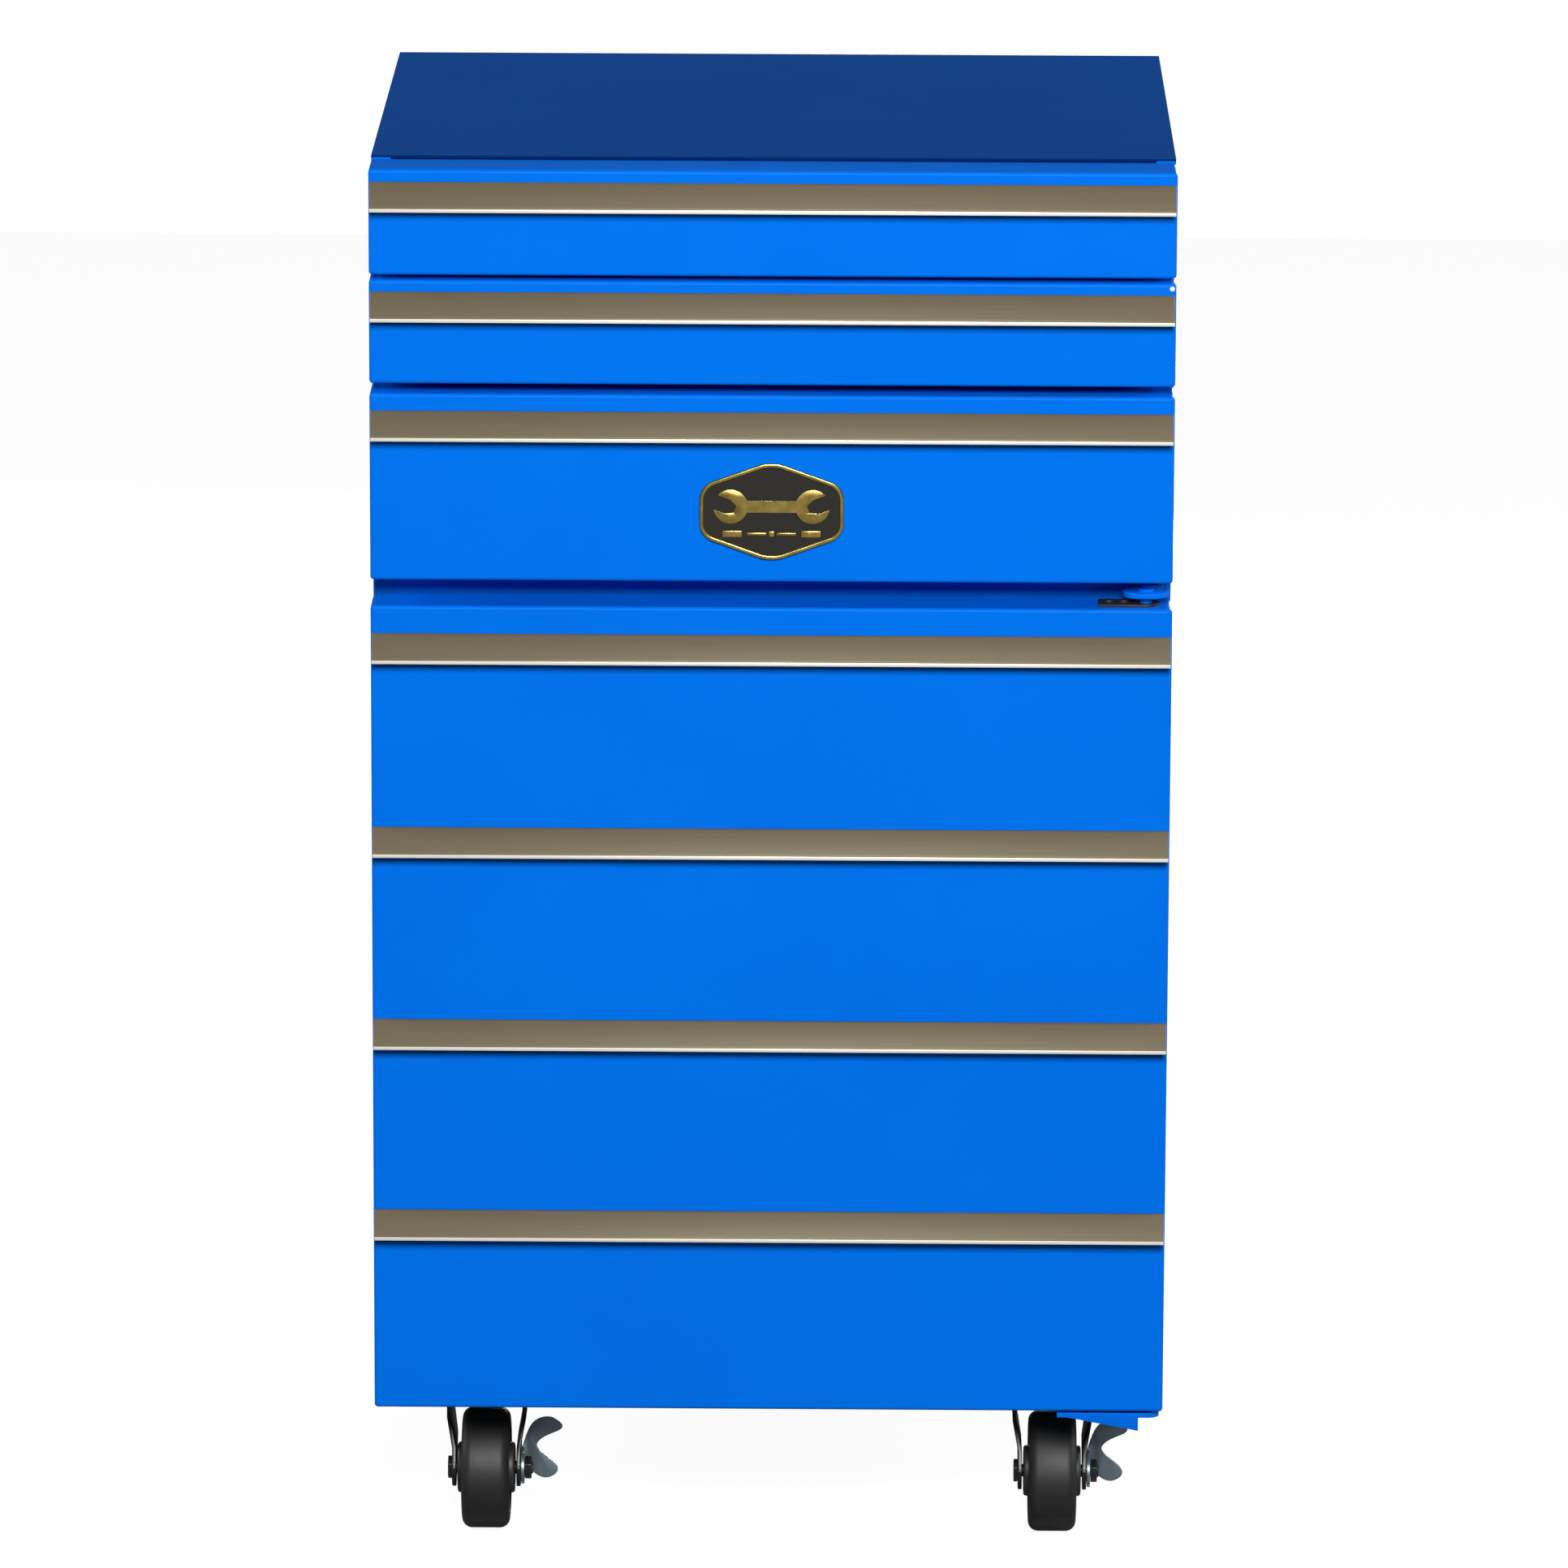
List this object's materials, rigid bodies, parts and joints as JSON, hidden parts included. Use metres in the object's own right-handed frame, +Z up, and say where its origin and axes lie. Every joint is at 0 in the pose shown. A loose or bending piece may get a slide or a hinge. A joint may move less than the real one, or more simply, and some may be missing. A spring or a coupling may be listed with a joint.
{
  "type": "rolling tool chest",
  "caption": "Rolling tool chest on swivel casters: sliding drawers over a hinged door with pull rails, closing on a cold cabinet.",
  "frame": {"origin": "on the floor, under the middle of the chest's bounding box", "axes": "+Z up, -Y out of the front towards the user, +X to the user's right"},
  "size_m": [0.49, 0.45, 0.88],
  "materials": {
    "powder_blue": "satin",
    "powder_grey": "satin",
    "galvanised": "matte",
    "slide_steel": "satin",
    "pull_aluminium": "brushed",
    "badge_metal": "satin",
    "liner_white": "satin",
    "rack_clear": "gloss",
    "foam": "matte",
    "gasket": "matte",
    "evaporator": "satin",
    "shelf_wire": "satin",
    "compressor_black": "satin",
    "moulded_black": "matte",
    "zinc": "satin",
    "fork_black": "satin",
    "wheel_core": "satin",
    "tyre_black": "matte"
  },
  "bodies": {
    "case": {"top_panel": "powder_blue", "side_panel_left": "powder_blue", "side_panel_right": "powder_blue", "back_panel": "galvanised", "rear_cover": "galvanised", "power_inlet": "moulded_black", "front_frame": "powder_blue", "bay_floor": "galvanised", "base_pan": "galvanised", "cabinet_insulation": "foam", "cabinet_liner": "liner_white", "wire_shelves": "shelf_wire", "evaporator_plate": "evaporator", "thermostat_housing": "liner_white", "compressor": "compressor_black", "slide_posts": "galvanised", "slide_outer_members": "slide_steel", "upper_hinge": "powder_blue", "lower_hinge": "powder_blue", "case_screws": "zinc", "caster_plates": "zinc", "caster_bolts": "zinc"},
    "thermostat_dial": {"thermostat_knob": "moulded_black"},
    "door": {"door_skin": "powder_blue", "door_foam": "foam", "door_liner": "liner_white", "door_gasket": "gasket", "door_racks": "rack_clear", "door_pull_rails": "pull_aluminium", "door_hinge_bushes": "moulded_black"},
    "drawer_1": {"drawer_1_front": "powder_blue", "drawer_1_tray": "powder_grey", "drawer_1_pull_rail": "pull_aluminium", "drawer_1_slide_inner": "slide_steel"},
    "slide_middle_1_pair": {"slide_middle_1": "slide_steel"},
    "drawer_2": {"drawer_2_front": "powder_blue", "drawer_2_tray": "powder_grey", "drawer_2_pull_rail": "pull_aluminium", "drawer_2_slide_inner": "slide_steel"},
    "slide_middle_2_pair": {"slide_middle_2": "slide_steel"},
    "drawer_3": {"drawer_3_front": "powder_blue", "drawer_3_tray": "powder_grey", "drawer_3_pull_rail": "pull_aluminium", "drawer_3_slide_inner": "slide_steel", "badge": "badge_metal"},
    "slide_middle_3_pair": {"slide_middle_3": "slide_steel"},
    "caster_front_left_yoke": {"caster_front_left_fork": "fork_black"},
    "caster_front_left_rolling_wheel": {"caster_front_left_wheel": "wheel_core", "caster_front_left_tyre": "tyre_black"},
    "caster_front_left_brake_lever": {"caster_front_left_brake": "zinc"},
    "caster_front_right_yoke": {"caster_front_right_fork": "fork_black"},
    "caster_front_right_rolling_wheel": {"caster_front_right_wheel": "wheel_core", "caster_front_right_tyre": "tyre_black"},
    "caster_front_right_brake_lever": {"caster_front_right_brake": "zinc"},
    "caster_rear_left_yoke": {"caster_rear_left_fork": "fork_black"},
    "caster_rear_left_rolling_wheel": {"caster_rear_left_wheel": "wheel_core", "caster_rear_left_tyre": "tyre_black"},
    "caster_rear_right_yoke": {"caster_rear_right_fork": "fork_black"},
    "caster_rear_right_rolling_wheel": {"caster_rear_right_wheel": "wheel_core", "caster_rear_right_tyre": "tyre_black"}
  },
  "joints": [
    {"name": "drawer_1_slide", "type": "slide", "parent": "case", "child": "drawer_1", "axis": [0, -1, 0], "range_m": [0, 0.3]},
    {"name": "slide_middle_1_travel", "type": "slide", "parent": "case", "child": "slide_middle_1_pair", "axis": [0, -1, 0], "range_m": [0, 0.15]},
    {"name": "drawer_2_slide", "type": "slide", "parent": "case", "child": "drawer_2", "axis": [0, -1, 0], "range_m": [0, 0.3]},
    {"name": "slide_middle_2_travel", "type": "slide", "parent": "case", "child": "slide_middle_2_pair", "axis": [0, -1, 0], "range_m": [0, 0.15]},
    {"name": "drawer_3_slide", "type": "slide", "parent": "case", "child": "drawer_3", "axis": [0, -1, 0], "range_m": [0, 0.3]},
    {"name": "slide_middle_3_travel", "type": "slide", "parent": "case", "child": "slide_middle_3_pair", "axis": [0, -1, 0], "range_m": [0, 0.15]},
    {"name": "door_hinge", "type": "hinge", "parent": "case", "child": "door", "pos_m": [0.229, -0.197, 0], "axis": [0, 0, 1], "range_deg": [0, 105]},
    {"name": "thermostat_turn", "type": "hinge", "parent": "case", "child": "thermostat_dial", "pos_m": [0.186, -0.045, 0.53], "axis": [0, -1, 0], "range_deg": [-270, 0]},
    {"name": "caster_front_left_swivel", "type": "hinge", "parent": "case", "child": "caster_front_left_yoke", "pos_m": [-0.178, -0.113, 0.096], "axis": [0, 0, 1], "continuous": true},
    {"name": "caster_front_left_roll", "type": "hinge", "parent": "caster_front_left_yoke", "child": "caster_front_left_rolling_wheel", "pos_m": [-0.178, -0.141, 0.038], "axis": [1, 0, 0], "continuous": true},
    {"name": "caster_front_left_brake_tilt", "type": "hinge", "parent": "caster_front_left_yoke", "child": "caster_front_left_brake_lever", "pos_m": [-0.178, -0.141, 0.038], "axis": [1, 0, 0], "range_deg": [-25, 0]},
    {"name": "caster_front_right_swivel", "type": "hinge", "parent": "case", "child": "caster_front_right_yoke", "pos_m": [0.178, -0.113, 0.096], "axis": [0, 0, 1], "continuous": true},
    {"name": "caster_front_right_roll", "type": "hinge", "parent": "caster_front_right_yoke", "child": "caster_front_right_rolling_wheel", "pos_m": [0.178, -0.141, 0.038], "axis": [1, 0, 0], "continuous": true},
    {"name": "caster_front_right_brake_tilt", "type": "hinge", "parent": "caster_front_right_yoke", "child": "caster_front_right_brake_lever", "pos_m": [0.178, -0.141, 0.038], "axis": [1, 0, 0], "range_deg": [-25, 0]},
    {"name": "caster_rear_left_swivel", "type": "hinge", "parent": "case", "child": "caster_rear_left_yoke", "pos_m": [-0.178, 0.157, 0.096], "axis": [0, 0, 1], "continuous": true},
    {"name": "caster_rear_left_roll", "type": "hinge", "parent": "caster_rear_left_yoke", "child": "caster_rear_left_rolling_wheel", "pos_m": [-0.178, 0.185, 0.038], "axis": [1, 0, 0], "continuous": true},
    {"name": "caster_rear_right_swivel", "type": "hinge", "parent": "case", "child": "caster_rear_right_yoke", "pos_m": [0.178, 0.157, 0.096], "axis": [0, 0, 1], "continuous": true},
    {"name": "caster_rear_right_roll", "type": "hinge", "parent": "caster_rear_right_yoke", "child": "caster_rear_right_rolling_wheel", "pos_m": [0.178, 0.185, 0.038], "axis": [1, 0, 0], "continuous": true}
  ],
  "couplings": [
    {"joint": "slide_middle_1_travel", "follows": "drawer_1_slide", "ratio": 0.5},
    {"joint": "slide_middle_2_travel", "follows": "drawer_2_slide", "ratio": 0.5},
    {"joint": "slide_middle_3_travel", "follows": "drawer_3_slide", "ratio": 0.5}
  ]
}
